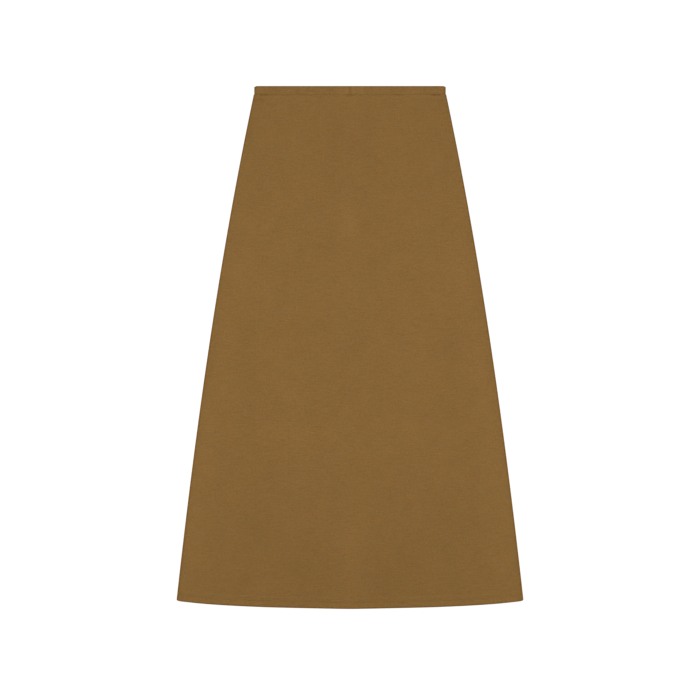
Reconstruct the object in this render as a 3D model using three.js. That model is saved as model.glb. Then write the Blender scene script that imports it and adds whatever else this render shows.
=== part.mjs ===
// Maxi skirt in plain jersey on a flat elastic waist, laid out flat on its back panel.
// Millimetres, +Z up. X runs across the skirt and +Y points from the hem to the waist.
// The origin is at the middle of the outline, on the surface that the skirt lies on.
// Every piece is a thin wall. The front panel lies on the back panel, and the two bend
// towards each other at the side seams, where a hair of space keeps the pieces apart.

import * as THREE from 'three';

// Outline of the skirt laid flat
const LENGTH = 950;             // from the waist edge to the middle of the hem
const WAIST_WIDTH = 348;        // across the waistband
const TOP_WIDTH = 349.7;        // across the panels just under the waistband
const HEM_WIDTH = 631;          // across the hem, from corner to corner
const TOP_FLARE = 0.214;        // growth of half the width for each mm down, under the band
const HEM_FLARE = 0.116;        // the same at the hem, where the sides have grown steeper
const HEM_DROP = 15.3;          // the hem's middle lies this much lower than its corners
const WAIST_CORNER = 2.4;       // radius of the band's upper corners
const HEM_CORNER = 4;           // radius of the hem's corners

// The hem's curve is a sum of three rises from its middle to its corners
const HEM_RISE = { slant: 0.35, bow: 0.2, corner: 0.45 };
const HEM_CORNER_POWER = 6;
const HEM_MIDDLE_EASE = 0.08;   // share of half the width over which the slant sets in

// Cloth
const CLOTH = 1.2;              // one layer of jersey
const BAND_WALL = 3;            // elastic in its casing: a layer, the elastic and a layer
const BAND_SEWN_WALL = 2.2;     // the same where the stitching draws the casing together
const BAND_SEWN_START = 11;     // depth from which the casing narrows to its stitching
const BAND_DEPTH = 15.3;        // waist edge to the casing's stitching
const HEM_WALL = 2;             // the turned-up hem: two layers pressed together
const HEM_TURN_UP = 17.4;       // depth of the turn-up, up to its upper row of stitching
const HEM_STEP = 2.6;           // length over which the turn-up's raw edge fades out
const SEAM_GAP = 0.3;           // space kept between pieces that are sewn together
const LAYER_GAP = 0.3;          // least space between the front and the back panel

// Space between the panels beside the side seams, where the seam allowances lie
const BAND_SPACE = 0.6;         // inside the waistband and at the hem's fold
const ALLOWANCE_SPACE = 1.2;    // added where the allowances are free
const ALLOWANCE_REACH = 15;     // how far in from the sides it fades away
const ALLOWANCE_START = 45;     // length under the band over which it sets in
const ALLOWANCE_END = 30;       // length above the hem over which it fades

// The panel leaves the thick band high and sinks onto the back panel
const BAND_LIFT = 1.6;
const BAND_LIFT_REACH = 22;

// Folds of the front panel, in mirrored pairs. Each is a soft ridge whose crest runs
// straight from depth `from` to depth `to` below the waist edge, at the two distances
// from the middle. Ridges whose end lies past the hem run out over it.
const FOLDS = [
  { name: 'waist flute, inner', from: 16, to: 250, startX: 52, endX: 66, height: 0.9, spread: 19 },
  { name: 'waist flute, outer', from: 16, to: 235, startX: 125, endX: 150, height: 0.8, spread: 15 },
  { name: 'crest in the middle', from: 185, to: 310, startX: 0, endX: 0, height: 0.7, spread: 13 },
  { name: 'hip swell', from: 285, to: 430, startX: 176, endX: 190, height: 1.1, spread: 32 },
  { name: 'broad middle swell', from: 300, to: 730, startX: 0, endX: 0, height: 1.4, spread: 105 },
  { name: 'side ridge', from: 350, to: 1250, startX: 196, endX: 300, height: 1.9, spread: 24 },
  { name: 'hem flute, middle', from: 700, to: 1080, startX: 0, endX: 0, height: 1.3, spread: 38 },
  { name: 'hem flute, outer', from: 640, to: 1150, startX: 132, endX: 156, height: 1.5, spread: 30 },
];
const FOLD_TAPER = 1.5;         // how slowly a fold rises and dies along its crest
const FOLD_SIDE_EASE = 16;      // folds die away over this distance from the side seams

// Steps of the walls
const BEND_STEPS = 3;           // facets of the quarter turn at each side
const FRONT_COLUMNS = 40;       // between the bends, fine enough for the folds
const BACK_COLUMNS = 12;
const BAND_COLUMNS = 22;
const PANEL_ROWS = 24;          // between the band and the hem's turn-up
const ROW_CROWDING = 1.25;      // above 1, rows stand closer together under the band
const HEM_ROWS = [HEM_TURN_UP, 10, 4, 2, 0.8, 0.2, 0];            // mm above the hem's fold
const BAND_ROWS = [0, 0.2, 0.7, 1.6, 5, 10, 13];                  // mm below the waist edge

// Round edges of the waistband's and the hem's folds
const BAND_FOLD_RADIUS = BAND_WALL / 2;
const HEM_FOLD_RADIUS = HEM_WALL / 2;
const ROUND_SHARE = 0.75;       // of the full round, so that the rim keeps a narrow face

const QUARTER_TURN = Math.PI / 2;
const PANEL_TOP = BAND_DEPTH + SEAM_GAP / 2;
const BAND_BOTTOM = BAND_DEPTH - SEAM_GAP / 2;
const CORNER_DEPTH = LENGTH - HEM_DROP;
const HEM_ZONE = HEM_TURN_UP + HEM_STEP;

function smoothStep(from, to, value) {
  return THREE.MathUtils.smoothstep(value, from, to);
}

// How far a round edge of the given radius falls short, at a distance in from the edge
function roundInset(radius, distance) {
  const left = THREE.MathUtils.clamp(radius - distance, 0, radius);
  return radius - Math.sqrt(radius * radius - left * left);
}

// Half the width of the panels at a depth: a cubic between the two widths and flares
function panelHalfWidth(depth) {
  const span = CORNER_DEPTH - BAND_DEPTH;
  const t = (depth - BAND_DEPTH) / span;
  const start = (1 + 2 * t) * (1 - t) ** 2 * (TOP_WIDTH / 2);
  const startSlope = t * (1 - t) ** 2 * span * TOP_FLARE;
  const end = t * t * (3 - 2 * t) * (HEM_WIDTH / 2);
  const endSlope = t * t * (t - 1) * span * HEM_FLARE;
  return start + startSlope + end + endSlope;
}

// Depth of the hem's fold, at a share of half the width out from the middle
function hemDepth(share) {
  const out = Math.abs(share);
  const ease = (value) => Math.hypot(value, HEM_MIDDLE_EASE) - HEM_MIDDLE_EASE;
  const slant = ease(out) / ease(1);
  const rise = HEM_RISE.slant * slant + HEM_RISE.bow * out ** 2
    + HEM_RISE.corner * out ** HEM_CORNER_POWER;
  return LENGTH - HEM_DROP * rise;
}

// Height of the front panel's folds, at a distance from the middle and a depth
function foldHeight(x, depth) {
  let height = 0;
  for (const fold of FOLDS) {
    const along = (depth - fold.from) / (fold.to - fold.from);
    if (along <= 0 || along >= 1) continue;
    const crest = fold.startX + (fold.endX - fold.startX) * along;
    const away = (Math.abs(x) - crest) / fold.spread;
    height += fold.height * Math.sin(Math.PI * along) ** FOLD_TAPER * Math.exp(-away * away);
  }
  return height;
}

// A row of a panel: its depth at each column, its half width, its wall and its spaces
function panelRow(share, aboveHem) {
  const plain = share < 1;
  const depthAt = (across) => (plain
    ? PANEL_TOP + share * (hemDepth(across) - HEM_ZONE - PANEL_TOP)
    : hemDepth(across) - aboveHem);
  const sideDepth = depthAt(1);
  const above = CORNER_DEPTH - sideDepth;
  const turnUp = 1 - smoothStep(HEM_TURN_UP, HEM_ZONE, above);
  const allowance = smoothStep(0, ALLOWANCE_START, sideDepth - PANEL_TOP)
    * smoothStep(0, ALLOWANCE_END, above);
  const lift = BAND_LIFT * Math.exp(-(sideDepth - PANEL_TOP) / BAND_LIFT_REACH);
  return {
    depthAt,
    halfWidth: panelHalfWidth(sideDepth) - roundInset(HEM_CORNER, above),
    wall: CLOTH + (HEM_WALL - CLOTH) * turnUp,
    space: BAND_SPACE + ALLOWANCE_SPACE * allowance + lift,
    middleSpace: LAYER_GAP + lift,
    round: ROUND_SHARE * roundInset(HEM_FOLD_RADIUS, above),
  };
}

function panelRows() {
  const rows = [];
  for (let i = 0; i < PANEL_ROWS; i += 1) {
    rows.push(panelRow((i / PANEL_ROWS) ** ROW_CROWDING, 0));
  }
  for (const above of [HEM_ZONE, ...HEM_ROWS]) rows.push(panelRow(1, above));
  return rows;
}

// A row of the waistband, whose wall narrows to its stitching
function bandRow(depth) {
  const sewn = smoothStep(BAND_SEWN_START, BAND_BOTTOM, depth);
  return {
    depthAt: () => depth,
    halfWidth: WAIST_WIDTH / 2 - roundInset(WAIST_CORNER, depth),
    wall: BAND_WALL + (BAND_SEWN_WALL - BAND_WALL) * sewn,
    space: BAND_SPACE,
    middleSpace: LAYER_GAP + (BAND_SPACE - LAYER_GAP) / 2,
    round: ROUND_SHARE * roundInset(BAND_FOLD_RADIUS, depth),
  };
}

function bandRows() {
  return [...BAND_ROWS, BAND_BOTTOM].map(bandRow);
}

// Columns of a wall: a quarter turn up from the seam, the flat stretch, and a turn down
function columnList(flatSteps) {
  const bend = [];
  for (let i = 0; i < BEND_STEPS; i += 1) bend.push((i / BEND_STEPS) * QUARTER_TURN);
  const flat = [];
  for (let i = 0; i <= flatSteps; i += 1) {
    flat.push({ across: (2 * i) / flatSteps - 1, turn: QUARTER_TURN });
  }
  return [
    ...bend.map((turn) => ({ across: -1, turn })),
    ...flat,
    ...bend.reverse().map((turn) => ({ across: 1, turn })),
  ];
}

// A point on the outer or inner face of the front (side 1) or the back (side -1)
function facePoint(row, column, side, outer, withFolds) {
  const insideRadius = row.space / 2 - SEAM_GAP / 2 + row.round;
  const outsideRadius = row.space / 2 - SEAM_GAP / 2 + row.wall - row.round;
  const radius = outer ? outsideRadius : insideRadius;
  const flatHalf = row.halfWidth - outsideRadius;
  const x = column.across * flatHalf + Math.sign(column.across) * radius * Math.cos(column.turn);
  const depth = row.depthAt(x / row.halfWidth);
  const seamHeight = row.wall + row.space / 2 + side * (SEAM_GAP / 2);
  let z = seamHeight + side * radius * Math.sin(column.turn);
  if (side > 0) {
    const fromSide = flatHalf - Math.abs(x);
    const seam = Math.exp(-((Math.max(fromSide, 0) / ALLOWANCE_REACH) ** 2));
    z += (row.middleSpace - row.space) * (1 - seam);
    if (withFolds) z += foldHeight(x, depth) * smoothStep(0, FOLD_SIDE_EASE, fromSide);
  }
  return new THREE.Vector3(x, LENGTH / 2 - depth, z);
}

// A closed wall between an upper and a lower grid of points, joined round the rim
function wallGeometry(upper, lower) {
  const rowCount = upper.length;
  const columnCount = upper[0].length;
  const points = [...upper.flat(), ...lower.flat()];
  const lowerStart = rowCount * columnCount;
  const at = (row, column) => row * columnCount + column;
  const triangles = [];
  for (let r = 0; r < rowCount - 1; r += 1) {
    for (let c = 0; c < columnCount - 1; c += 1) {
      const quad = [at(r, c), at(r + 1, c), at(r + 1, c + 1), at(r, c + 1)];
      const [a, b, d, e] = quad;
      triangles.push(a, b, d, a, d, e);
      const [f, g, h, k] = quad.map((index) => index + lowerStart);
      triangles.push(f, h, g, f, k, h);
    }
  }
  const rim = [];
  for (let r = 0; r < rowCount - 1; r += 1) rim.push(at(r, 0));
  for (let c = 0; c < columnCount - 1; c += 1) rim.push(at(rowCount - 1, c));
  for (let r = rowCount - 1; r > 0; r -= 1) rim.push(at(r, columnCount - 1));
  for (let c = columnCount - 1; c > 0; c -= 1) rim.push(at(0, c));
  rim.forEach((here, i) => {
    const next = rim[(i + 1) % rim.length];
    const hereBelow = here + lowerStart;
    const nextBelow = next + lowerStart;
    triangles.push(next, here, hereBelow, next, hereBelow, nextBelow);
  });
  const geometry = new THREE.BufferGeometry();
  geometry.setAttribute(
    'position',
    new THREE.Float32BufferAttribute(points.flatMap((point) => point.toArray()), 3),
  );
  geometry.setIndex(triangles);
  geometry.computeVertexNormals();
  return geometry;
}

// One side of the skirt, or of its band, from its rows and columns
function layer(rows, columns, side, withFolds) {
  const face = (outer) => rows.map(
    (row) => columns.map((column) => facePoint(row, column, side, outer, withFolds)),
  );
  return side > 0 ? wallGeometry(face(true), face(false)) : wallGeometry(face(false), face(true));
}

const jersey = new THREE.MeshStandardMaterial({ color: '#856337', roughness: 0.9, metalness: 0 });
const bandJersey = new THREE.MeshStandardMaterial({ color: '#83602f', roughness: 0.88, metalness: 0 });

function piece(name, geometry, material) {
  const mesh = new THREE.Mesh(geometry, material);
  mesh.name = name;
  return mesh;
}

const FRONT = 1;
const BACK = -1;

const skirt = new THREE.Group();
skirt.add(
  piece('front_panel', layer(panelRows(), columnList(FRONT_COLUMNS), FRONT, true), jersey),
  piece('back_panel', layer(panelRows(), columnList(BACK_COLUMNS), BACK, false), jersey),
  piece('waistband_front', layer(bandRows(), columnList(BAND_COLUMNS), FRONT, false), bandJersey),
  piece('waistband_back', layer(bandRows(), columnList(BAND_COLUMNS), BACK, false), bandJersey),
);

export default skirt;
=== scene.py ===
import math
import random
from collections import namedtuple

import bmesh
import bpy
from mathutils import Matrix, Vector, noise


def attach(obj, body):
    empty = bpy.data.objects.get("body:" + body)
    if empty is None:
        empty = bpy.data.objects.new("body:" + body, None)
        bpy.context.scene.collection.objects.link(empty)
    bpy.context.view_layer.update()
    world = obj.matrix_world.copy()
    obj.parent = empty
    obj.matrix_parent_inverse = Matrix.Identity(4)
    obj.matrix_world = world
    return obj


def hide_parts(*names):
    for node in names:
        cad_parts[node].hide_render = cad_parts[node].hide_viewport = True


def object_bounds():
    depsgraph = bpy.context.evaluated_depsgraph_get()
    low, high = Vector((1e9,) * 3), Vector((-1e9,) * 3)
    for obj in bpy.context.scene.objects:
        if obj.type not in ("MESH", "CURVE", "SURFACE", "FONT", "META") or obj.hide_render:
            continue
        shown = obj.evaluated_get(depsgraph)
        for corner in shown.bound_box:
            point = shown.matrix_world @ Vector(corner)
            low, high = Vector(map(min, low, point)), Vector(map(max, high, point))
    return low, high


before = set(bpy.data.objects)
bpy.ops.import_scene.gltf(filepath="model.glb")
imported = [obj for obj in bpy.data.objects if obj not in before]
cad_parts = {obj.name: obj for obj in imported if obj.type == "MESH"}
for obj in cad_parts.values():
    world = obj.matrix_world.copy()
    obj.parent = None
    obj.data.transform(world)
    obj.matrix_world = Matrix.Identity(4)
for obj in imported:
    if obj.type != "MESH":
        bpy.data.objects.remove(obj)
cad_low, cad_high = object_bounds()

MM = 0.001

# Camera: straight above, as the photograph is taken. Its scale comes from the skirt's
# length there, and its place from where the waist edge and the hem's middle lie.
PHOTO_SIZE = 700
PHOTO_WAIST_EDGE = 86.07
PHOTO_HEM_MIDDLE = 608.93
LENS = 200.0
SENSOR = 36.0

# Outline of the skirt laid flat. The length is the frame's, and the rest keeps within
# about a millimetre of the solids.
LENGTH = cad_high.y - cad_low.y
WAIST_WIDTH = 348 * MM
TOP_WIDTH = 349.7 * MM
HEM_WIDTH = 631 * MM
TOP_FLARE = 0.211
HEM_FLARE = 0.111
HEM_DROP = 14.1 * MM
WAIST_CORNER = 2.4 * MM
HEM_CORNER = 4 * MM
HEM_SLANT, HEM_TURN = 0.42, 0.58
HEM_TURN_POWER = 4
HEM_MIDDLE_EASE = 0.08

# Cloth, casing and hem
CLOTH = 0.9 * MM
PANEL_WALL = 1.2 * MM
BAND_WALL = 3 * MM
BAND_SEWN_WALL = 1.95 * MM
BAND_SEWN_START = 9 * MM
BAND_DEPTH = 15.3 * MM
HEM_WALL = 2 * MM
HEM_TURN_UP = 17.4 * MM
HEM_ZONE = 20 * MM
HEM_ROWS_ABOVE = (11.2 * MM, 16.8 * MM)
JOIN_GAP = 0.02 * MM

# The panel's upper edge goes on inside the casing: how deep it lies under the band's
# face, and its height there as a share of the panel's length
SEAM_TUCK = CLOTH + 3 * JOIN_GAP
SEAM_SHARE = 0.0035

# Spaces between the front and the back
BAND_SPACE = 0.6 * MM
LAYER_GAP = 0.3 * MM
ALLOWANCE_SPACE = 1.2 * MM
ALLOWANCE_REACH = 15 * MM
ALLOWANCE_START = 45 * MM
ALLOWANCE_END = 30 * MM
BAND_LIFT = 1.6 * MM
BAND_LIFT_REACH = 22 * MM
FOLD_SIDE_EASE = 16 * MM
FOLD_TAPER = 1.5

# How far the side seams draw the cloth in under its own edge, as an angle
SEAM_GROOVE = math.radians(35)
CLOSED_GROOVE = math.radians(4)

CORNER_DEPTH = LENGTH - HEM_DROP
FRONT, BACK = 1, -1

Fold = namedtuple("Fold", "start end start_x end_x height spread")
Row = namedtuple("Row", "depth_at half_width half_height middle_drop groove tuck beyond")
Column = namedtuple("Column", "across turn")

# Folds of the front, mirrored about the middle, in mm: depths below the waist edge,
# distances from the middle, height and half the breadth
FOLDS = [Fold(*(size * MM for size in sizes)) for sizes in (
    (16, 250, 52, 66, 0.9, 19),
    (16, 235, 125, 150, 0.8, 15),
    (185, 310, 0, 0, 0.7, 13),
    (285, 430, 176, 190, 1.1, 32),
    (300, 730, 0, 0, 1.4, 105),
    (350, 1250, 196, 300, 1.9, 24),
    (700, 1080, 0, 0, 1.3, 38),
    (640, 1150, 132, 156, 1.5, 30),
)]


def smooth_step(low, high, value):
    t = min(max((value - low) / (high - low), 0.0), 1.0)
    return t * t * (3 - 2 * t)


def bell(offset, spread):
    return math.exp(-((offset / spread) ** 2))


def round_inset(radius, distance):
    """How far a round edge falls short at a distance in from it."""
    left = min(max(radius - distance, 0.0), radius)
    return radius - math.sqrt(radius * radius - left * left)


def stations(start, *zones):
    """Places from start on, evenly spaced in each zone of (steps, end)."""
    places = [start]
    for steps, end in zones:
        begin = places[-1]
        places += [begin + (end - begin) * (i + 1) / steps for i in range(steps)]
    return places


# The skirt's outline


def panel_half_width(depth):
    span = CORNER_DEPTH - BAND_DEPTH
    t = (depth - BAND_DEPTH) / span
    start = (1 + 2 * t) * (1 - t) ** 2 * TOP_WIDTH / 2
    start += t * (1 - t) ** 2 * span * TOP_FLARE
    end = t * t * (3 - 2 * t) * HEM_WIDTH / 2
    end += t * t * (t - 1) * span * HEM_FLARE
    return start + end


def hem_depth(share):
    def eased(value):
        return math.hypot(value, HEM_MIDDLE_EASE) - HEM_MIDDLE_EASE

    out = abs(share)
    rise = HEM_SLANT * eased(out) / eased(1) + HEM_TURN * out ** HEM_TURN_POWER
    return LENGTH - HEM_DROP * rise


# Relief of the front: folds, puckers at the stitching, creases and soft waves


def fold_height(x, depth):
    height = 0.0
    for fold in FOLDS:
        along = (depth - fold.start) / (fold.end - fold.start)
        if 0 < along < 1:
            crest = fold.start_x + (fold.end_x - fold.start_x) * along
            taper = math.sin(math.pi * along) ** FOLD_TAPER
            height += fold.height * taper * bell(abs(x) - crest, fold.spread)
    return height


Pucker = namedtuple("Pucker", "x breadth height reach lean")


def sewn_puckers(seed, count, half_width, breadths, heights, reaches, leans):
    """Small ridges that start at a row of stitching, set out at uneven steps."""
    draw = random.Random(seed)
    step = 2 * half_width / count
    return [
        Pucker(
            -half_width + (i + draw.uniform(0.1, 0.9)) * step,
            draw.uniform(*breadths) * MM,
            draw.uniform(*heights) * MM,
            draw.uniform(*reaches) * MM,
            draw.uniform(*leans),
        )
        for i in range(count)
    ]


WAIST_PUCKERS = sewn_puckers(
    11, 30, WAIST_WIDTH / 2 - 6 * MM, (3.2, 7), (-0.12, 0.18), (14, 46), (-0.16, 0.16)
)
HEM_PUCKERS = sewn_puckers(
    23, 62, HEM_WIDTH / 2 - 8 * MM, (3.4, 6.5), (-0.12, 0.2), (7, 20), (-0.5, 0.1)
)
BAND_CREASES = sewn_puckers(
    37, 34, WAIST_WIDTH / 2 - 8 * MM, (1.8, 4), (-0.16, 0.08), (8, 20), (-0.12, 0.12)
) + [
    Pucker(side * x * MM, 1.6 * MM, -0.5 * MM, 22 * MM, side * lean)
    for x, lean in ((134, 0), (96, 0.05), (75, -0.1), (37, 0), (0.3, 0))
    for side in (-1, 1)
]
PUCKER_START = 6 * MM
PUCKER_END = 110 * MM


def pucker_height(puckers, x, distance):
    """Sum of the puckers at a distance from the stitching that draws them in."""
    height = 0.0
    if distance <= 0 or distance > PUCKER_END:
        return height
    for pucker in puckers:
        away = x - pucker.x - pucker.lean * distance
        if abs(away) < 3 * pucker.breadth:
            fade = math.exp(-((distance / pucker.reach) ** 2))
            height += pucker.height * fade * bell(away, pucker.breadth)
    return height * smooth_step(0, PUCKER_START, distance)


# Creases under the ends of the waistband, in mm: where each starts and ends, how far
# out from the middle and how deep below the waist edge, its depth and half its breadth
Crease = namedtuple("Crease", "start_x start end_x end depth breadth")
END_CREASES = [Crease(*(size * MM for size in sizes)) for sizes in (
    (172, 24.5, 146, 23, 0.55, 2.6),
    (168, 19.5, 152, 19, 0.35, 2.0),
    (158, 18, 150, 62, 0.45, 4.5),
    (141, 18, 136, 44, 0.3, 3.5),
)]
CREASE_END = 90 * MM


def crease_depth(x, depth):
    total = 0.0
    if depth > CREASE_END:
        return total
    for crease in END_CREASES:
        start = Vector((crease.start_x, crease.start))
        run = Vector((crease.end_x, crease.end)) - start
        point = Vector((abs(x), depth)) - start
        along = point.dot(run) / run.length_squared
        if -0.3 < along < 1.3:
            away = (point - run * along).length
            ends = smooth_step(-0.3, 0.2, along) * (1 - smooth_step(0.6, 1.3, along))
            total += crease.depth * ends * bell(away, crease.breadth)
    return total


WAVES = ((0.6 * MM, 70 * MM, 150 * MM, 3.7), (0.2 * MM, 26 * MM, 60 * MM, 9.1))


def soft_waves(x, depth):
    """Low swells that only lift the cloth, as high as a wave's height at most."""
    return sum(
        height * (0.5 + 0.5 * noise.noise(Vector((x / across, depth / along, seed))))
        for height, across, along, seed in WAVES
    )


STITCH_GROOVE = 0.34 * MM
STITCH_GROOVE_BREADTH = 1.2 * MM
PULL_LENGTHS = (7 * MM, 26 * MM)
HEM_GROOVE = 0.12 * MM
HEM_RIDGE = 0.22 * MM
HEM_RIDGE_BREADTH = 2.2 * MM


# Places where the waist stitching draws in hardest, in mm from the middle, with half the
# breadth and the strength
PULLS = ((2, 9, 0.9), (52, 16, 0.2), (88, 7, 0.45), (152, 5, 1.3), (162, 2, 1.6), (171, 3, 0.8))
EVEN_PULL = 0.28


def stitch_pull(x):
    """How hard the thread draws the cloth in along the seam, uneven from place to place."""
    short, long = (noise.noise(Vector((x / length, 2.3, 0))) for length in PULL_LENGTHS)
    pull = EVEN_PULL + 0.5 * short + 0.25 * long
    for place, breadth, strength in PULLS:
        pull += strength * bell(abs(x) - place * MM, breadth * MM)
    return max(pull, 0.0)


def hem_relief(x, above):
    """Grooves of the two stitched rows, the ridge between them, and the puckers."""
    lower, upper = HEM_ROWS_ABOVE
    relief = HEM_RIDGE * bell(above - (lower + upper) / 2, HEM_RIDGE_BREADTH)
    relief += HEM_RIDGE * bell(above - lower / 2, HEM_RIDGE_BREADTH * 1.6)
    relief -= HEM_GROOVE * bell(above - lower, STITCH_GROOVE_BREADTH)
    relief -= HEM_GROOVE * bell(above - upper, STITCH_GROOVE_BREADTH)
    below_lower = pucker_height(HEM_PUCKERS, x, max(lower - above, 0.0))
    above_upper = pucker_height(HEM_PUCKERS, x, max(above - upper, 0.0))
    return relief + below_lower + above_upper


def panel_relief(x, depth, side):
    """What the panel's face has beyond the plain form, outwards on its own side."""
    below_band = depth - BAND_DEPTH
    above_hem = hem_depth(x / panel_half_width(depth)) - depth
    relief = -STITCH_GROOVE * stitch_pull(x) * bell(below_band, STITCH_GROOVE_BREADTH)
    relief += pucker_height(WAIST_PUCKERS, x, below_band)
    relief += hem_relief(x, above_hem)
    if side == FRONT:
        edges = smooth_step(0, 40 * MM, below_band) * smooth_step(0, 30 * MM, above_hem)
        relief += soft_waves(x, depth) * edges - crease_depth(x, depth)
    return relief


def band_relief(x, depth, side):
    up = BAND_DEPTH - depth
    relief = -STITCH_GROOVE * stitch_pull(x) * bell(up, STITCH_GROOVE_BREADTH)
    return relief + pucker_height(BAND_CREASES, x, up) * smooth_step(0, 3 * MM, depth)


# Painted light and shade of the front: soft lighter and darker places where its folds and
# creases catch or lose the light, and dark spots along the stitching, mirrored about the
# middle. Each has its distance out and depth below the waist edge, half its breadth and
# half its length in mm, how far it moves out per mm down, and its change of shade as a
# share.
PaintedShadingAndTone = namedtuple("PaintedShadingAndTone", "x depth breadth length lean change")


def shading_patches(*rows):
    return [PaintedShadingAndTone(*(size * MM for size in row[:4]), *row[4:]) for row in rows]


PAINTED_SHADING = shading_patches(
    (0, 25, 20, 25, 0, 0.035),
    (30, 125, 18, 70, 0, -0.030),
    (0, 120, 12, 15, 0, -0.020),
    (0, 250, 13, 40, 0, 0.075),
    (170, 20, 25, 20, 0, -0.030),
    (176, 45, 7, 30, 0.2, -0.020),
    (160, 120, 35, 80, 0.1, -0.020),
    (40, 300, 12, 30, 0, -0.015),
    (110, 295, 40, 30, 0, 0.012),
    (195, 345, 25, 35, -0.5, 0.020),
    (160, 365, 22, 25, -0.3, 0.034),
    (65, 375, 30, 15, 0, 0.015),
    (0, 365, 40, 35, 0, 0.025),
    (125, 345, 10, 20, 0, -0.015),
    (185, 465, 15, 30, 0.1, -0.030),
    (185, 550, 20, 70, 0, -0.012),
    (115, 520, 35, 110, 0, 0.018),
    (250, 580, 18, 280, 0.18, 0.024),
    (247, 480, 7, 45, 0.2, -0.036),
    (50, 500, 18, 25, 0, 0.010),
    (130, 620, 25, 25, 0, 0.011),
    (0, 630, 30, 65, 0, 0.018),
    (70, 640, 60, 35, 0, 0.022),
    (70, 685, 20, 20, 0, 0.015),
    (175, 815, 40, 85, 0.1, -0.040),
    (0, 820, 25, 40, 0, 0.050),
    (0, 900, 20, 45, 0, 0.030),
    (75, 890, 55, 65, 0, -0.045),
    (195, 910, 25, 30, 0, -0.020),
    (290, 830, 20, 110, 0.15, 0.022),
    (307, 920, 3, 1.5, 0, -0.090),
    (20, 938.5, 12, 1.5, 0, -0.045),
    (50, 936, 5, 3, 0, -0.035),
    (163, 24.4, 9, 2.2, 0, -0.070),
    (158, 20, 9, 1.6, 0, 0.030),
    (153.5, 16.2, 3.6, 2, 0, -0.200),
    (162, 15.5, 1.8, 1.6, 0, -0.260),
    (2, 17, 4, 1.5, 0, -0.120),
)
# Painted light and shade of the waistband, laid out as above: dark lines in its creases with
# painted highlights beside them, and dark spots where the waist stitching draws in
BAND_PAINTED_SHADING = shading_patches(
    (153.5, 16.2, 3.6, 2, 0, -0.200),
    (162, 15.5, 1.8, 1.6, 0, -0.260),
    (171, 13.6, 2.2, 1.6, 0, -0.200),
    (2, 17, 4, 1.5, 0, -0.120),
    (134, 8, 1.4, 12, 0, -0.090),
    (128.5, 8, 1.3, 12, 0, -0.045),
    (96, 8, 1.3, 12, 0, -0.065),
    (92, 8, 1.2, 12, 0, -0.040),
    (76, 8, 1.5, 12, 0.1, -0.080),
    (71, 8, 1.6, 12, 0.1, 0.040),
    (37, 8, 1.3, 12, 0, -0.055),
    (31, 8, 2.0, 12, 0, -0.030),
    (18, 7, 6.0, 12, 0, 0.085),
    (6, 7, 2.6, 12, 0, 0.120),
    (0, 7, 1.6, 12, 0, -0.060),
    (142, 8, 12, 12, 0, -0.030),
    (118, 8, 9, 12, 0, 0.015),
    (166, 5, 6, 6, 0, 0.020),
)
BASE_TONE = 0.992
# Painted shade, as shares: darker towards the hem, towards the waist and along the sides, in the
# hem's stitched rows and along the waist seam where the thread draws in; painted light along the
# hem's fold
HEM_SHADE, HEM_SHADE_START, HEM_SHADE_END = -0.025, 580 * MM, 930 * MM
WAIST_SHADE, WAIST_SHADE_END = -0.015, 200 * MM
SIDE_SHADE, SIDE_SHADE_REACH = -0.035, 9 * MM
HEM_FOLD_LIGHT, HEM_FOLD_LIGHT_REACH = 0.022, 11 * MM
STITCH_SHADE, STITCH_SHADE_BREADTH = -0.022, 1.5 * MM
SEAM_SHADE, SEAM_SHADE_DEPTH, SEAM_SHADE_BREADTH = -0.085, 16.2 * MM, 0.9 * MM
BACK_TONE = 0.035

# Painted shade at the outline: the outermost few millimetres, where the cloth turns under,
# are a deeper, redder brown, less so along the waist
EDGE_START, EDGE_END = 1.6 * MM, 3.1 * MM
WAIST_EDGE_SHARE = 0.3


def patches(table, x, depth):
    total = 0.0
    for patch in table:
        down = depth - patch.depth
        if abs(down) < 3 * patch.length:
            away = abs(x) - patch.x - patch.lean * down
            total += patch.change * bell(away, patch.breadth) * bell(down, patch.length)
    return total


# Painted light and shade of the cloth as a share of its colour, from the shares and patches above;
# the back has random variation in place of the front's patches
def painted_shading_and_tone_at(x, depth, side):
    shade_and_tone = BASE_TONE + HEM_SHADE * smooth_step(HEM_SHADE_START, HEM_SHADE_END, depth)
    shade_and_tone += WAIST_SHADE * (1 - smooth_step(0, WAIST_SHADE_END, depth))
    below_band = smooth_step(0, 2 * BAND_DEPTH, depth)
    shade_and_tone += SIDE_SHADE * below_band * bell(panel_half_width(depth) - abs(x), SIDE_SHADE_REACH)
    above_hem = hem_depth(x / panel_half_width(depth)) - depth
    for row in HEM_ROWS_ABOVE:
        shade_and_tone += STITCH_SHADE * stitch_pull(x + row) * bell(above_hem - row, STITCH_SHADE_BREADTH)
    shade_and_tone += HEM_FOLD_LIGHT * bell(above_hem, HEM_FOLD_LIGHT_REACH)
    shade_and_tone += SEAM_SHADE * stitch_pull(x) * bell(depth - SEAM_SHADE_DEPTH, SEAM_SHADE_BREADTH)
    if depth < BAND_DEPTH:
        return shade_and_tone + patches(BAND_PAINTED_SHADING, x, depth)
    if side == BACK:
        return shade_and_tone + BACK_TONE * noise.noise(Vector((x * 14, depth * 6, 5)))
    return shade_and_tone + patches(PAINTED_SHADING, x, depth)


def edge_shade_at(x, depth):
    """Painted shade at the outline: one there, falling to nothing a few millimetres in."""
    width = panel_half_width(depth)
    from_side = width - abs(x)
    from_hem = hem_depth(x / width) - depth
    outline = 1 - smooth_step(EDGE_START, EDGE_END, min(from_side, from_hem))
    waist = WAIST_EDGE_SHARE * (1 - smooth_step(EDGE_START, EDGE_END, depth))
    return max(outline, waist)


# Rows and columns of the cloth


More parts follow.
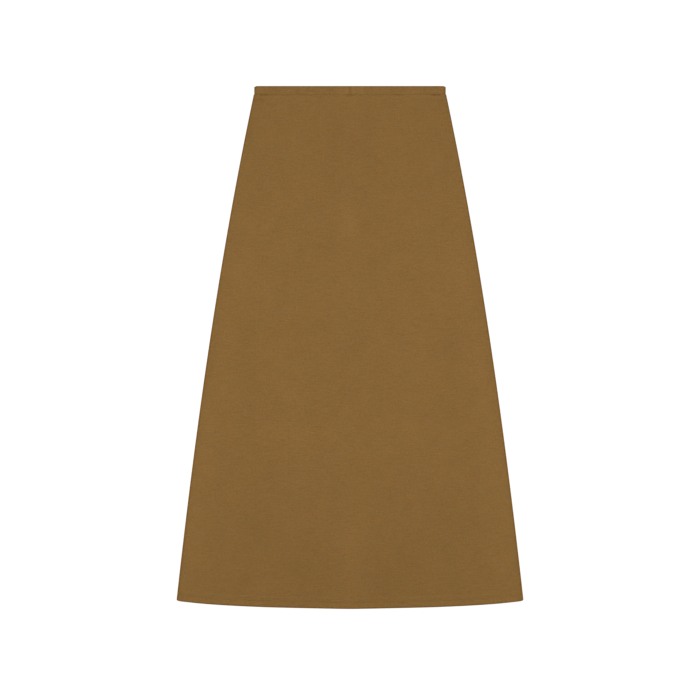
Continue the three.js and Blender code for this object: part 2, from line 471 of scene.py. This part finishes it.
def panel_row(share, above_hem=0.0, tuck=0.0, beyond=0.0):
    """A row of a panel: by its share of the way to the hem, or by its height above it."""
    def depth_at(across):
        if share < 1:
            top = BAND_DEPTH + JOIN_GAP
            return top + share * (hem_depth(across) - HEM_ZONE - top)
        return hem_depth(across) - above_hem

    side_depth = depth_at(1)
    above = CORNER_DEPTH - side_depth
    turn_up = 1 - smooth_step(HEM_TURN_UP, HEM_ZONE, above)
    wall = PANEL_WALL + (HEM_WALL - PANEL_WALL) * turn_up
    allowance = smooth_step(0, ALLOWANCE_START, side_depth - BAND_DEPTH)
    allowance *= smooth_step(0, ALLOWANCE_END, above)
    lift = BAND_LIFT * math.exp(-(side_depth - BAND_DEPTH) / BAND_LIFT_REACH)
    space = BAND_SPACE + ALLOWANCE_SPACE * allowance + lift
    return Row(
        depth_at,
        panel_half_width(side_depth) - corner_inset(HEM_CORNER, above, HEM_TURN_UP, beyond),
        wall + space / 2,
        space - LAYER_GAP - lift,
        CLOSED_GROOVE + (SEAM_GROOVE - CLOSED_GROOVE) * smooth_step(HEM_ZONE, 2 * HEM_ZONE, above),
        tuck,
        beyond,
    )


def corner_inset(radius, distance, layer, beyond):
    """Round corner of a face, or the slow return of the layer folded in behind it."""
    if beyond:
        return radius * (1 - smooth_step(0, layer, distance))
    return round_inset(radius, distance)


def turned_rows(row_at, radius, steps, length, length_steps):
    """Rows round a fold of that radius and on along the layer inside it."""
    rows = []
    for i in range(1, steps + 1):
        angle = math.pi * i / steps
        inset = radius * (1 - math.sin(angle))
        rows.append(row_at(inset, radius * (1 - math.cos(angle)), radius * angle))
    for i in range(1, length_steps + 1):
        run = length * i / length_steps
        rows.append(row_at(radius + run, 2 * radius, math.pi * radius + run))
    return rows


def panel_rows(*zones):
    rows = [panel_row(share, 0, SEAM_TUCK) for share in (-SEAM_SHARE, 0)]
    rows += [panel_row(share) for share in stations(0, *zones) if share < 1]
    fold = HEM_WALL / 2
    above = stations(
        HEM_ZONE,
        (4, 18.4 * MM), (5, 16.3 * MM), (4, 12.9 * MM), (5, 10.7 * MM), (9, fold),
    )
    rows += [panel_row(1, height) for height in above]
    return rows + turned_rows(
        lambda inset, tuck, beyond: panel_row(1, inset, tuck, beyond),
        fold, 8, HEM_TURN_UP - fold, 10,
    )


def band_row(depth, tuck=0.0, beyond=0.0):
    sewn = smooth_step(BAND_SEWN_START, BAND_DEPTH, depth)
    wall = BAND_WALL + (BAND_SEWN_WALL - BAND_WALL) * sewn
    inner = tuck * wall / BAND_WALL
    return Row(
        lambda across: depth,
        WAIST_WIDTH / 2 - corner_inset(WAIST_CORNER, depth, BAND_DEPTH, beyond),
        wall + BAND_SPACE / 2,
        (BAND_SPACE - LAYER_GAP) / 2,
        CLOSED_GROOVE / 4,
        inner,
        beyond,
    )


def band_rows():
    fold = BAND_WALL / 2
    rows = [band_row(depth) for depth in stations(
        BAND_DEPTH - JOIN_GAP, (4, 13.4 * MM), (5, 9 * MM), (8, fold)
    )]
    rows += turned_rows(band_row, fold, 10, BAND_DEPTH - fold - JOIN_GAP, 12)
    return rows[::-1]


def side_columns(bend_steps, flat_steps):
    """Columns from the left seam round its bend, across the flat and round to the right."""
    bend = [i / bend_steps for i in range(bend_steps)]
    flat = [Column(2 * i / flat_steps - 1, 1.0) for i in range(flat_steps + 1)]
    left = [Column(-1.0, turn) for turn in bend]
    right = [Column(1.0, turn) for turn in reversed(bend)]
    return left + flat + right


def lay(side, row, column, relief):
    """Where a point of the cloth's face lies, and its place on the cloth."""
    radius = row.half_height / (1 + math.sin(row.groove))
    angle = -row.groove + (math.pi / 2 + row.groove) * column.turn
    outwards = math.copysign(1.0, column.across)
    flat_half = row.half_width - radius
    x = column.across * flat_half + outwards * (radius - row.tuck) * math.cos(angle)
    share = x / row.half_width
    depth = row.depth_at(share)
    rise = row.half_height - radius + (radius - row.tuck) * math.sin(angle)
    from_side = max(flat_half - abs(x), 0.0)
    free = smooth_step(0, FOLD_SIDE_EASE, from_side)
    if side == FRONT:
        rise -= row.middle_drop * (1 - bell(from_side, ALLOWANCE_REACH))
        rise += (fold_height(x, depth) + relief(x, depth, side)) * free
    else:
        rise -= max(-relief(x, depth, side), 0.0) * free
    on_cloth = (
        column.across * flat_half + outwards * radius * (math.pi / 2 - angle),
        -(hem_depth(share) + row.beyond if row.beyond else depth),
    )
    return Vector((x, LENGTH / 2 - depth, row.half_height + side * rise)), on_cloth


def cloth_piece(name, side, rows, columns, relief, finish):
    """A sheet of cloth from a flat grid, laid in place and given its thickness."""
    bm = bmesh.new()
    last_column, last_row = len(columns) - 1, len(rows) - 1
    bmesh.ops.create_grid(bm, x_segments=last_column, y_segments=last_row, size=1)
    # Painted light and shade for the finish, kept on each vertex, with the painted shade of the
    # outline
    shade_and_tone_layer = bm.verts.layers.float.new("PaintedShadingAndTone")
    edge_shade_layer = bm.verts.layers.float.new("EdgeShade")
    on_cloth = {}
    for vert in bm.verts:
        column = columns[round((vert.co.x + 1) / 2 * last_column)]
        row = rows[round((1 - vert.co.y) / 2 * last_row)]
        vert.co, on_cloth[vert] = lay(side, row, column, relief)
        depth = LENGTH / 2 - vert.co.y
        vert[shade_and_tone_layer] = painted_shading_and_tone_at(vert.co.x, depth, side)
        vert[edge_shade_layer] = edge_shade_at(vert.co.x, depth)
    uv_layer = bm.loops.layers.uv.new("Cloth")
    for face in bm.faces:
        face.smooth = True
        for loop in face.loops:
            loop[uv_layer].uv = on_cloth[loop.vert]
    if side == BACK:
        bmesh.ops.reverse_faces(bm, faces=bm.faces)
    piece = finished_piece(name, bm, finish)
    thickness = piece.modifiers.new("Thickness", "SOLIDIFY")
    thickness.thickness = CLOTH
    thickness.offset = -1
    return piece


def finished_piece(name, bm, finish):
    mesh = bpy.data.meshes.new(name)
    bm.to_mesh(mesh)
    bm.free()
    mesh.materials.append(finish)
    piece = bpy.data.objects.new(name, mesh)
    bpy.context.scene.collection.objects.link(piece)
    return piece


# Stitching

THREAD = 0.42 * MM
STITCH_PITCH = 3.0 * MM
STITCH_LENGTH = 2.5 * MM
SEAM_SLOPE = 0.2


def row_path(side, row, relief, steps):
    """Points along a row from seam to seam, with the outward direction at each."""
    columns = side_columns(10, steps)
    points = [lay(side, row, column, relief)[0] for column in columns]
    along_skirt = Vector((0, 1, 0))
    path = []
    for i, point in enumerate(points):
        before, after = points[max(i - 1, 0)], points[min(i + 1, len(points) - 1)]
        run = (after - before).normalized()
        path.append((point, run, run.cross(along_skirt).normalized() * side))
    return path


def stitch_pattern():
    """One stitch as a short bulge of thread of unit length along X."""
    bm = bmesh.new()
    upright = Matrix.Rotation(math.pi / 2, 4, "Y")
    bmesh.ops.create_uvsphere(bm, u_segments=6, v_segments=5, radius=0.5, matrix=upright)
    pattern = bpy.data.meshes.new("StitchPattern")
    bm.to_mesh(pattern)
    bm.free()
    return pattern


def stitched_row(bm, pattern, side, row, relief, draw):
    """Short stitches of thread along a row of the cloth, as far as the side seams."""
    path = row_path(side, row, relief, 420)
    travelled, due = 0.0, STITCH_PITCH / 2
    for (here, _, _), (there, run, outward) in zip(path, path[1:]):
        travelled += (there - here).length
        if travelled < due or abs(run.z) > SEAM_SLOPE:
            continue
        due += STITCH_PITCH
        across = outward.cross(run)
        turn = Matrix((run, across, outward)).transposed().to_4x4()
        sway = Matrix.Rotation(draw.uniform(-0.07, 0.07), 4, "Z")
        length = STITCH_LENGTH * draw.uniform(0.9, 1.06)
        size = Matrix.Diagonal((length, THREAD, THREAD, 1))
        centre = there + outward * THREAD * draw.uniform(0.0, 0.18)
        centre.z = max(centre.z, THREAD / 2 + JOIN_GAP)
        place = Matrix.Translation(centre)
        stitch = pattern.copy()
        stitch.transform(place @ turn @ sway @ size)
        bm.from_mesh(stitch)
        bpy.data.meshes.remove(stitch)


def stitching(name, side, rows, relief, finish, seed):
    bm = bmesh.new()
    draw = random.Random(seed)
    pattern = stitch_pattern()
    for row in rows:
        stitched_row(bm, pattern, side, row, relief, draw)
    bpy.data.meshes.remove(pattern)
    # Painted shade on the thread where it sinks into the seam: the same painted light and shade as
    # the cloth at that place
    shade_and_tone_layer = bm.verts.layers.float.new("PaintedShadingAndTone")
    for vert in bm.verts:
        vert[shade_and_tone_layer] = painted_shading_and_tone_at(vert.co.x, LENGTH / 2 - vert.co.y, side)
    for face in bm.faces:
        face.smooth = True
    return finished_piece(name, bm, finish)


# Finishes


class Wire:
    """A shader value that takes part in Python arithmetic."""

    def __init__(self, tree, socket):
        self.tree = tree
        self.socket = socket

    def math(self, operation, *values):
        node = self.tree.nodes.new("ShaderNodeMath")
        node.operation = operation
        for slot, value in zip(node.inputs, values):
            connect(self.tree, slot, value)
        return Wire(self.tree, node.outputs[0])

    def __add__(self, other):
        return self.math("ADD", self, other)

    __radd__ = __add__

    def __mul__(self, other):
        return self.math("MULTIPLY", self, other)

    __rmul__ = __mul__

    def __sub__(self, other):
        return self.math("SUBTRACT", self, other)

    def __rsub__(self, other):
        return self.math("SUBTRACT", other, self)

    def __truediv__(self, other):
        return self.math("DIVIDE", self, other)

    def __abs__(self):
        return self.math("ABSOLUTE", self)

    def whole(self):
        return self.math("FLOOR", self)

    def part(self):
        return self.math("FRACT", self)

    def sine(self):
        return self.math("SINE", self)


def connect(tree, slot, value):
    if isinstance(value, Wire):
        tree.links.new(value.socket, slot)
    else:
        slot.default_value = value


class Finish:
    """A material whose nodes are added one call at a time."""

    def __init__(self, name):
        self.material = bpy.data.materials.new(name)
        self.material.use_nodes = True
        self.tree = self.material.node_tree
        self.tree.nodes.clear()

    def node(self, kind, settings=None, inputs=None, output=0):
        node = self.tree.nodes.new(kind)
        for setting, value in (settings or {}).items():
            setattr(node, setting, value)
        for slot, value in (inputs or {}).items():
            connect(self.tree, node.inputs[slot], value)
        return Wire(self.tree, node.outputs[output]) if node.outputs else node

    def blend(self, factor, first, second):
        """A mix of two colours."""
        return self.node(
            "ShaderNodeMix", {"data_type": "RGBA"}, {0: factor, 6: first, 7: second}, 2
        )

    def noise(self, vector, scale, detail=2.0):
        return self.node("ShaderNodeTexNoise", {}, {
            "Vector": vector, "Scale": scale, "Detail": detail, "Roughness": 0.55,
        })

    def stretched(self, vector, scale, turn=0.0):
        return self.node("ShaderNodeMapping", {}, {
            "Vector": vector, "Scale": scale, "Rotation": (0, 0, turn),
        })

    def surface(self, **inputs):
        names = {slot.replace("_", " "): value for slot, value in inputs.items()}
        shader = self.node("ShaderNodeBsdfPrincipled", {}, names)
        self.node("ShaderNodeOutputMaterial", {}, {"Surface": shader})
        return self.material


JERSEY_WARM = (0.2185, 0.1005, 0.0200, 1)
JERSEY_GREY = (0.1735, 0.1095, 0.0410, 1)
# Painted shade at the outline: the cloth's colour is multiplied towards this deeper, redder brown
# there
EDGE_SHADE_TINT = (0.84, 0.74, 0.42, 1)
THREAD_LIGHT = (0.220, 0.112, 0.031, 1)
THREAD_DARK = (0.160, 0.082, 0.025, 1)

WALE = 0.85 * MM
COURSE = 0.62 * MM
LOOP_LEAN = 0.42
LOOP_MEAN = 0.5
COURSE_STEP = 3.73


def jersey_finish(name, depth_of_colour, heather_contrast):
    """Fine single jersey: rows of small loops, uneven yarn and a heathered brown."""
    finish = Finish(name)
    cloth = finish.node("ShaderNodeUVMap", {"uv_map": "Cloth"})
    across = finish.node("ShaderNodeSeparateXYZ", {}, {"Vector": cloth}, 0) / WALE
    along = finish.node("ShaderNodeSeparateXYZ", {}, {"Vector": cloth}, 1) / COURSE

    out = abs(across.part() * 2 - 1)
    leaning = along + LOOP_LEAN * out
    course = leaning.whole()
    loops = (leaning.part() * math.pi).sine() * (0.4 + 0.6 * (out * math.pi).sine())

    def strand(wales, seed):
        """What varies along the yarn of each course, over that many wales."""
        place = finish.node("ShaderNodeCombineXYZ", {}, {
            "X": across / wales, "Y": course * COURSE_STEP, "Z": seed,
        })
        return finish.noise(place, 1.0, 2)

    slub = finish.noise(finish.stretched(cloth, (255, 390, 1)), 1.0, 3)
    streak = finish.noise(finish.stretched(cloth, (50, 400, 1), 0.05), 1.0, 2)
    cloud = finish.noise(cloth, 26.0, 4)
    yarn_tone = strand(3.0, 0.3)
    heather = strand(2.0, 7.3)
    fibre = finish.noise(finish.stretched(cloth, (2600, 5200, 1), 0.2), 1.0, 2)
    # Painted light and shade of folds, creases and stitching, from the piece's attribute
    shade_and_tone = finish.node("ShaderNodeAttribute", {"attribute_name": "PaintedShadingAndTone"}, {}, 2)
    # Painted shade at the outline, from the piece's attribute
    edge_shade = finish.node("ShaderNodeAttribute", {"attribute_name": "EdgeShade"}, {}, 2)

    warm = (heather - 0.5) * heather_contrast + 0.5
    yarn = finish.blend(warm, JERSEY_GREY, JERSEY_WARM)
    base = finish.node("ShaderNodeMix", {"data_type": "RGBA", "blend_type": "MULTIPLY"}, {
        0: edge_shade, 6: yarn, 7: EDGE_SHADE_TINT,
    }, 2)
    uneven = (slub - 0.5) * 0.38 + (streak - 0.5) * 0.28 + (cloud - 0.5) * 0.12
    uneven = uneven + (yarn_tone - 0.5) * 0.45
    # Painted shade between the loops of the jersey, with random fibre mottling
    loop_shade_and_fibre = (loops - LOOP_MEAN) * 0.5 + (fibre - 0.5) * 0.35
    shade = (uneven + loop_shade_and_fibre + depth_of_colour) * shade_and_tone
    colour = finish.node(
        "ShaderNodeVectorMath", {"operation": "SCALE"}, {"Vector": base, "Scale": shade}
    )
    height = loops * 0.8 + slub * 0.3 + fibre * 0.2
    bump = finish.node("ShaderNodeBump", {}, {
        "Height": height, "Strength": 0.8, "Distance": 0.18 * MM,
    })
    return finish.surface(
        Base_Color=colour,
        Roughness=0.80 + 0.14 * slub,
        Normal=bump,
        Specular_IOR_Level=0.05,
        Sheen_Weight=0.06,
        Sheen_Roughness=0.5,
        Sheen_Tint=(0.9, 0.72, 0.5, 1),
    )


def thread_finish():
    finish = Finish("Thread")
    place = finish.node("ShaderNodeTexCoord", {}, {}, 3)
    ply = finish.noise(finish.stretched(place, (2600, 1200, 1200), 0.5), 1.0, 1)
    shift = finish.noise(finish.stretched(place, (130, 20, 20)), 1.0, 2)
    yarn = finish.blend((shift - 0.5) * 3 + 0.35 + 0.3 * ply, THREAD_LIGHT, THREAD_DARK)
    # Painted shade on the thread where it sinks into the seam, from the piece's attribute
    shade_and_tone = finish.node("ShaderNodeAttribute", {"attribute_name": "PaintedShadingAndTone"}, {}, 2)
    colour = finish.node(
        "ShaderNodeVectorMath", {"operation": "SCALE"}, {"Vector": yarn, "Scale": shade_and_tone}
    )
    bump = finish.node("ShaderNodeBump", {}, {
        "Height": ply, "Strength": 0.4, "Distance": 0.05 * MM,
    })
    return finish.surface(
        Base_Color=colour, Roughness=0.5 + 0.2 * ply, Normal=bump, Specular_IOR_Level=0.3
    )


def floor_finish():
    finish = Finish("Floor")
    place = finish.node("ShaderNodeTexCoord", {}, {}, 3)
    grain = finish.noise(place, 3.0, 2)
    return finish.surface(
        Base_Color=finish.blend(grain, (0.12, 0.12, 0.12, 1), (0.13, 0.13, 0.13, 1)),
        Roughness=0.9,
        Specular_IOR_Level=0.1,
        Emission_Color=(1, 1, 1, 1),
        Emission_Strength=0.93,
    )


# The studio


def make_camera():
    scale = LENGTH / (PHOTO_HEM_MIDDLE - PHOTO_WAIST_EDGE)
    frame_width = PHOTO_SIZE * scale
    middle_y = LENGTH / 2 - (PHOTO_SIZE / 2 - PHOTO_WAIST_EDGE) * scale
    distance = frame_width * LENS / SENSOR
    data = bpy.data.cameras.new("Camera")
    data.lens = LENS
    data.sensor_width = SENSOR
    data.clip_end = 4 * distance
    camera = bpy.data.objects.new("Camera", data)
    camera.location = (0, middle_y, distance + cad_high.z / 2)
    bpy.context.scene.collection.objects.link(camera)
    bpy.context.scene.camera = camera


def make_lamp(name, place, target, size, power):
    data = bpy.data.lights.new(name, "AREA")
    data.shape = "RECTANGLE"
    data.size, data.size_y = size
    data.energy = power
    lamp = bpy.data.objects.new(name, data)
    lamp.location = place
    lamp.rotation_mode = "QUATERNION"
    lamp.rotation_quaternion = (Vector(target) - Vector(place)).to_track_quat("-Z", "Y")
    bpy.context.scene.collection.objects.link(lamp)


def make_studio():
    bm = bmesh.new()
    bmesh.ops.create_grid(bm, x_segments=8, y_segments=8, size=14)
    bmesh.ops.translate(bm, verts=bm.verts, vec=(0, 0, -0.1 * MM))
    finished_piece("Floor", bm, floor_finish())
    for side in (-1, 1):
        make_lamp(f"Softbox{side:+d}", (side * 2.0, 0.15, 0.85), (0, 0.1, 0), (0.8, 1.6), 33)
    world = bpy.data.worlds.new("Studio")
    world.use_nodes = True
    background = world.node_tree.nodes["Background"]
    background.inputs["Color"].default_value = (1, 1, 1, 1)
    background.inputs["Strength"].default_value = 0.75
    bpy.context.scene.world = world
    bpy.context.scene.view_settings.view_transform = "Standard"


# The skirt


def cut_area():
    """Area of a panel between the band and the hem's fold."""
    steps = 200
    width = 2 * sum(
        panel_half_width(BAND_DEPTH + (CORNER_DEPTH - BAND_DEPTH) * (i + 0.5) / steps)
        for i in range(steps)
    ) / steps
    bow = HEM_WIDTH * sum(hem_depth(i / steps) - CORNER_DEPTH for i in range(steps)) / steps
    return width * (CORNER_DEPTH - BAND_DEPTH) + bow


make_camera()
make_studio()

jersey = jersey_finish("Jersey", 1.0, 3.0)
band_jersey = jersey_finish("BandJersey", 0.985, 2.4)
thread = thread_finish()

panel_area = cut_area()

FRONT_ZONES = ((4, 0.0025), (12, 0.02), (18, 0.07), (96, 0.93), (14, 1))
BACK_ZONES = ((4, 0.0025), (8, 0.02), (10, 0.07), (56, 0.93), (8, 1))
for side, face, zones, flat_steps in (
    (FRONT, "front", FRONT_ZONES, 200), (BACK, "back", BACK_ZONES, 120)
):
    panel = cloth_piece(
        f"{face}_panel_cloth", side, panel_rows(*zones), side_columns(8, flat_steps),
        panel_relief, jersey,
    )
    hem_stitching = stitching(
        f"{face}_hem_stitching", side, [panel_row(1, above) for above in HEM_ROWS_ABOVE],
        panel_relief, thread, 5 + side,
    )
    band = cloth_piece(
        f"{face}_waistband_cloth", side, band_rows(), side_columns(12, 200),
        band_relief, band_jersey,
    )
    band_stitching = stitching(
        f"{face}_waistband_stitching", side, [band_row(BAND_DEPTH - JOIN_GAP)],
        band_relief, thread, 15 + side,
    )
    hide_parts(f"{face}_panel")
    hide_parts(f"waistband_{face}")
    for piece, slot in (
        (panel, "jersey"), (hem_stitching, "jersey"),
        (band, "waistband"), (band_stitching, "waistband"),
    ):
        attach(piece, "root")
